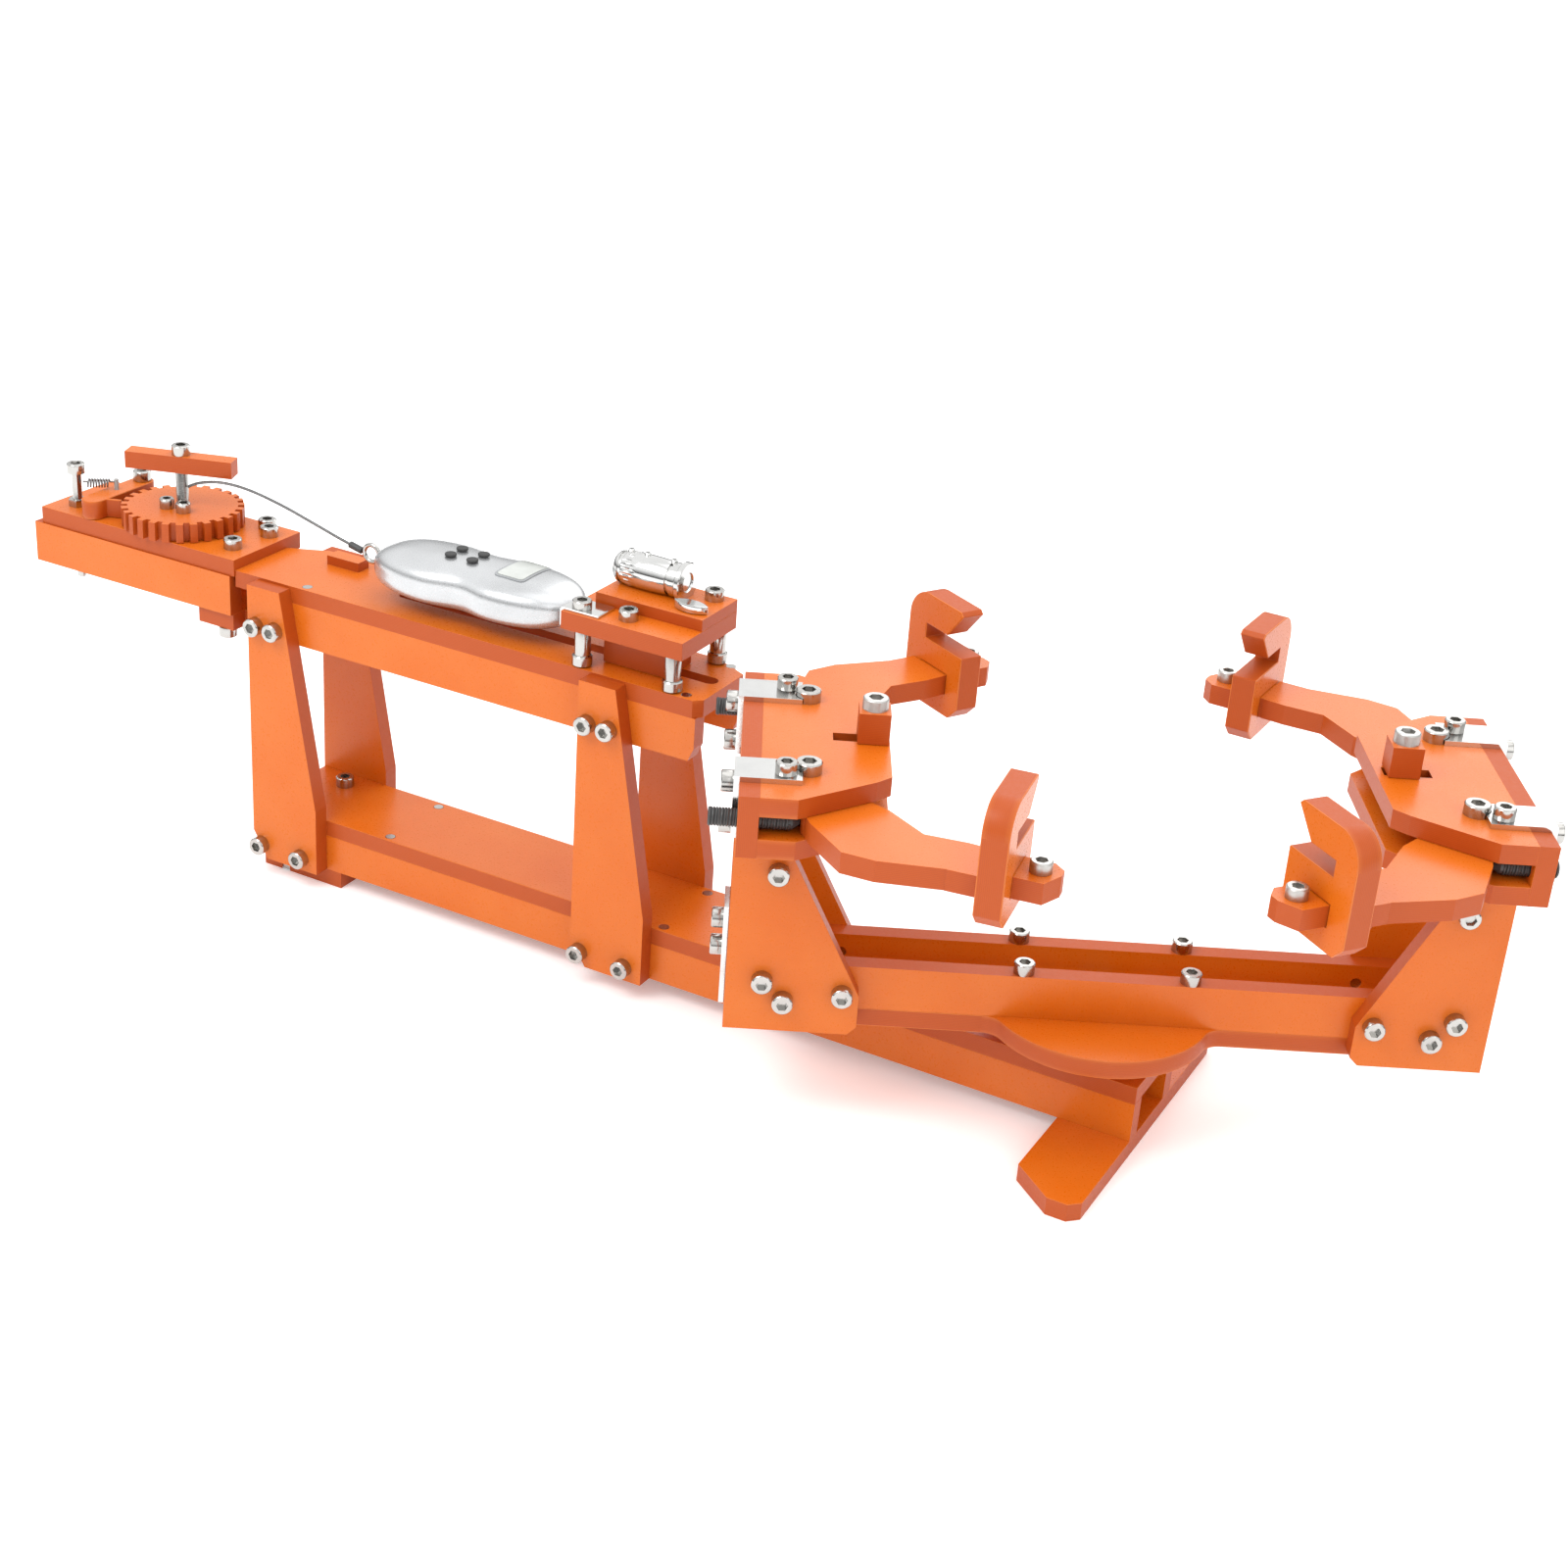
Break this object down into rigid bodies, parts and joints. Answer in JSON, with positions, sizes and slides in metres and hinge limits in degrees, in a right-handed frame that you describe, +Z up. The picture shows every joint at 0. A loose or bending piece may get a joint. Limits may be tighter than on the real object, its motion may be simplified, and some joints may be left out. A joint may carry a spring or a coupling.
{
  "type": "racket stringing machine",
  "caption": "Tabletop racket stringing machine: hand crank and ratchet, tension rail with digital scale and gripper, turntable with four clamping arms",
  "frame": {"origin": "the turntable's axis on the table plane, on the underside of the right foot", "axes": "+X along the base to the right end, +Y to the back, +Z up"},
  "size_m": [0.8001, 0.2951, 0.2165],
  "materials": {
    "phenolic_plate": "orange laminated phenolic plate with a satin face and darker cut edges",
    "stainless_screw": "bright stainless socket screws and pins",
    "polished_strap": "polished steel",
    "spring_wire": "bright steel wire",
    "black_oxide": "black oxide steel",
    "silver_plastic": "silver painted plastic housing",
    "display": "grey-green display window",
    "button_rubber": "black rubber"
  },
  "bodies": {
    "base": {"base_top_plate": "phenolic_plate", "base_side_rails": "phenolic_plate", "left_foot": "phenolic_plate", "right_foot": "phenolic_plate", "left_legs": "phenolic_plate", "middle_legs": "phenolic_plate", "rail_top_plate": "phenolic_plate", "rail_side_plates": "phenolic_plate", "head_top_plate": "phenolic_plate", "head_side_plates": "phenolic_plate", "head_link_plate": "phenolic_plate", "frame_screws": "stainless_screw", "pivot_bearing": "black_oxide", "pivot_bolt": "stainless_screw", "spring_post": "stainless_screw", "pawl_spring": "spring_wire"},
    "pawl": {"pawl": "phenolic_plate"},
    "crank": {"ratchet_wheel": "phenolic_plate", "crank_post": "stainless_screw", "crank_handle": "phenolic_plate", "crank_screws": "stainless_screw"},
    "turntable": {"turntable_plate": "phenolic_plate", "beam_walls": "phenolic_plate", "tower_plates": "phenolic_plate", "lower_decks": "phenolic_plate", "upper_decks": "phenolic_plate", "end_plates": "phenolic_plate", "deck_straps": "polished_strap", "tower_strap": "polished_strap", "turntable_screws": "stainless_screw"},
    "carriage": {"carriage_plate": "phenolic_plate", "carriage_upper_plate": "phenolic_plate", "carriage_keel": "phenolic_plate", "carriage_screws": "stainless_screw", "gripper_body": "polished_strap", "scale_body": "silver_plastic", "scale_window": "display", "scale_hook": "stainless_screw", "pull_cable": "spring_wire", "cable_ferrule": "black_oxide"},
    "jaw": {"gripper_jaw": "polished_strap"},
    "post_left": {"post_left": "phenolic_plate"},
    "post_right": {"post_right": "phenolic_plate"},
    "arm_front_left": {"arm_front_left": "phenolic_plate"},
    "hook_front_left": {"hook_front_left": "phenolic_plate"},
    "adjuster_front_left": {"adjuster_front_left": "black_oxide"},
    "arm_front_right": {"arm_front_right": "phenolic_plate"},
    "hook_front_right": {"hook_front_right": "phenolic_plate"},
    "adjuster_front_right": {"adjuster_front_right": "black_oxide"},
    "arm_rear_left": {"arm_rear_left": "phenolic_plate"},
    "hook_rear_left": {"hook_rear_left": "phenolic_plate"},
    "adjuster_rear_left": {"adjuster_rear_left": "black_oxide"},
    "arm_rear_right": {"arm_rear_right": "phenolic_plate"},
    "hook_rear_right": {"hook_rear_right": "phenolic_plate"},
    "adjuster_rear_right": {"adjuster_rear_right": "black_oxide"},
    "button_front_left": {"button_front_left": "button_rubber"},
    "button_front_right": {"button_front_right": "button_rubber"},
    "button_rear_left": {"button_rear_left": "button_rubber"},
    "button_rear_right": {"button_rear_right": "button_rubber"}
  },
  "joints": [
    {"name": "turntable_turn", "type": "hinge", "parent": "base", "child": "turntable", "pos_m": [0, 0, 0.06], "axis": [0, 0, 1], "continuous": true},
    {"name": "carriage_slide", "type": "slide", "parent": "base", "child": "carriage", "axis": [-1, 0, 0], "range_m": [0, 0.05], "deforming": ["pull_cable"]},
    {"name": "crank_turn", "type": "hinge", "parent": "base", "child": "crank", "pos_m": [-0.5374, 0, 0.172], "axis": [0, 0, 1], "range_deg": [0, 720]},
    {"name": "pawl_swing", "type": "hinge", "parent": "base", "child": "pawl", "pos_m": [-0.5794, 0.016, 0.1713], "axis": [0, 0, 1], "range_deg": [-6, 5.5], "stiffness_Nm_per_rad": 0.02, "deforming": ["pawl_spring"]},
    {"name": "jaw_swing", "type": "hinge", "parent": "carriage", "child": "jaw", "pos_m": [-0.2261, -0.001, 0.1986], "axis": [0, 0, 1], "range_deg": [-15, 15]},
    {"name": "adjuster_front_left_slide", "type": "slide", "parent": "turntable", "child": "adjuster_front_left", "axis": [-0.8825, -0.4702, 0], "range_m": [-0.002, 0.002]},
    {"name": "arm_front_left_swing", "type": "hinge", "parent": "turntable", "child": "arm_front_left", "pos_m": [-0.1086, -0.10092, 0.1713], "axis": [0, 0, 1], "range_deg": [-6.1, 6.1]},
    {"name": "hook_front_left_slide", "type": "slide", "parent": "arm_front_left", "child": "hook_front_left", "axis": [0.9889, 0.1487, 0], "range_m": [0, 0.0035]},
    {"name": "adjuster_front_right_slide", "type": "slide", "parent": "turntable", "child": "adjuster_front_right", "axis": [0.8825, 0.4702, 0], "range_m": [-0.002, 0.002]},
    {"name": "arm_front_right_swing", "type": "hinge", "parent": "turntable", "child": "arm_front_right", "pos_m": [0.14434, 0.03385, 0.1713], "axis": [0, 0, 1], "range_deg": [-6.1, 6.1]},
    {"name": "hook_front_right_slide", "type": "slide", "parent": "arm_front_right", "child": "hook_front_right", "axis": [-0.6011, -0.7992, 0], "range_m": [0, 0.0035]},
    {"name": "adjuster_rear_left_slide", "type": "slide", "parent": "turntable", "child": "adjuster_rear_left", "axis": [-0.8825, -0.4702, 0], "range_m": [-0.002, 0.002]},
    {"name": "arm_rear_left_swing", "type": "hinge", "parent": "turntable", "child": "arm_rear_left", "pos_m": [-0.14434, -0.03385, 0.1713], "axis": [0, 0, 1], "range_deg": [-6.1, 6.1]},
    {"name": "hook_rear_left_slide", "type": "slide", "parent": "arm_rear_left", "child": "hook_rear_left", "axis": [0.4917, 0.8708, 0], "range_m": [0, 0.0035]},
    {"name": "adjuster_rear_right_slide", "type": "slide", "parent": "turntable", "child": "adjuster_rear_right", "axis": [0.8825, 0.4702, 0], "range_m": [-0.002, 0.002]},
    {"name": "arm_rear_right_swing", "type": "hinge", "parent": "turntable", "child": "arm_rear_right", "pos_m": [0.1086, 0.10092, 0.1713], "axis": [0, 0, 1], "range_deg": [-6.1, 6.1]},
    {"name": "hook_rear_right_slide", "type": "slide", "parent": "arm_rear_right", "child": "hook_rear_right", "axis": [-0.9994, 0.034, 0], "range_m": [0, 0.0035]},
    {"name": "post_left_slide", "type": "slide", "parent": "turntable", "child": "post_left", "axis": [-0.8825, -0.4702, 0], "range_m": [0, 0.009]},
    {"name": "post_right_slide", "type": "slide", "parent": "turntable", "child": "post_right", "axis": [0.8825, 0.4702, 0], "range_m": [0, 0.009]},
    {"name": "button_front_left_press", "type": "slide", "parent": "carriage", "child": "button_front_left", "axis": [0, 0, -1], "range_m": [0, 0.00025], "stiffness_N_per_m": 400},
    {"name": "button_front_right_press", "type": "slide", "parent": "carriage", "child": "button_front_right", "axis": [0, 0, -1], "range_m": [0, 0.00025], "stiffness_N_per_m": 400},
    {"name": "button_rear_left_press", "type": "slide", "parent": "carriage", "child": "button_rear_left", "axis": [0, 0, -1], "range_m": [0, 0.00025], "stiffness_N_per_m": 400},
    {"name": "button_rear_right_press", "type": "slide", "parent": "carriage", "child": "button_rear_right", "axis": [0, 0, -1], "range_m": [0, 0.00025], "stiffness_N_per_m": 400}
  ],
  "couplings": [
    {"joint": "crank_turn", "follows": "carriage_slide", "rad_per_m": 251.33},
    {"joint": "arm_front_left_swing", "follows": "adjuster_front_left_slide", "rad_per_m": -52.632},
    {"joint": "arm_front_right_swing", "follows": "adjuster_front_right_slide", "rad_per_m": 52.632},
    {"joint": "arm_rear_left_swing", "follows": "adjuster_rear_left_slide", "rad_per_m": 52.632},
    {"joint": "arm_rear_right_swing", "follows": "adjuster_rear_right_slide", "rad_per_m": -52.632}
  ]
}
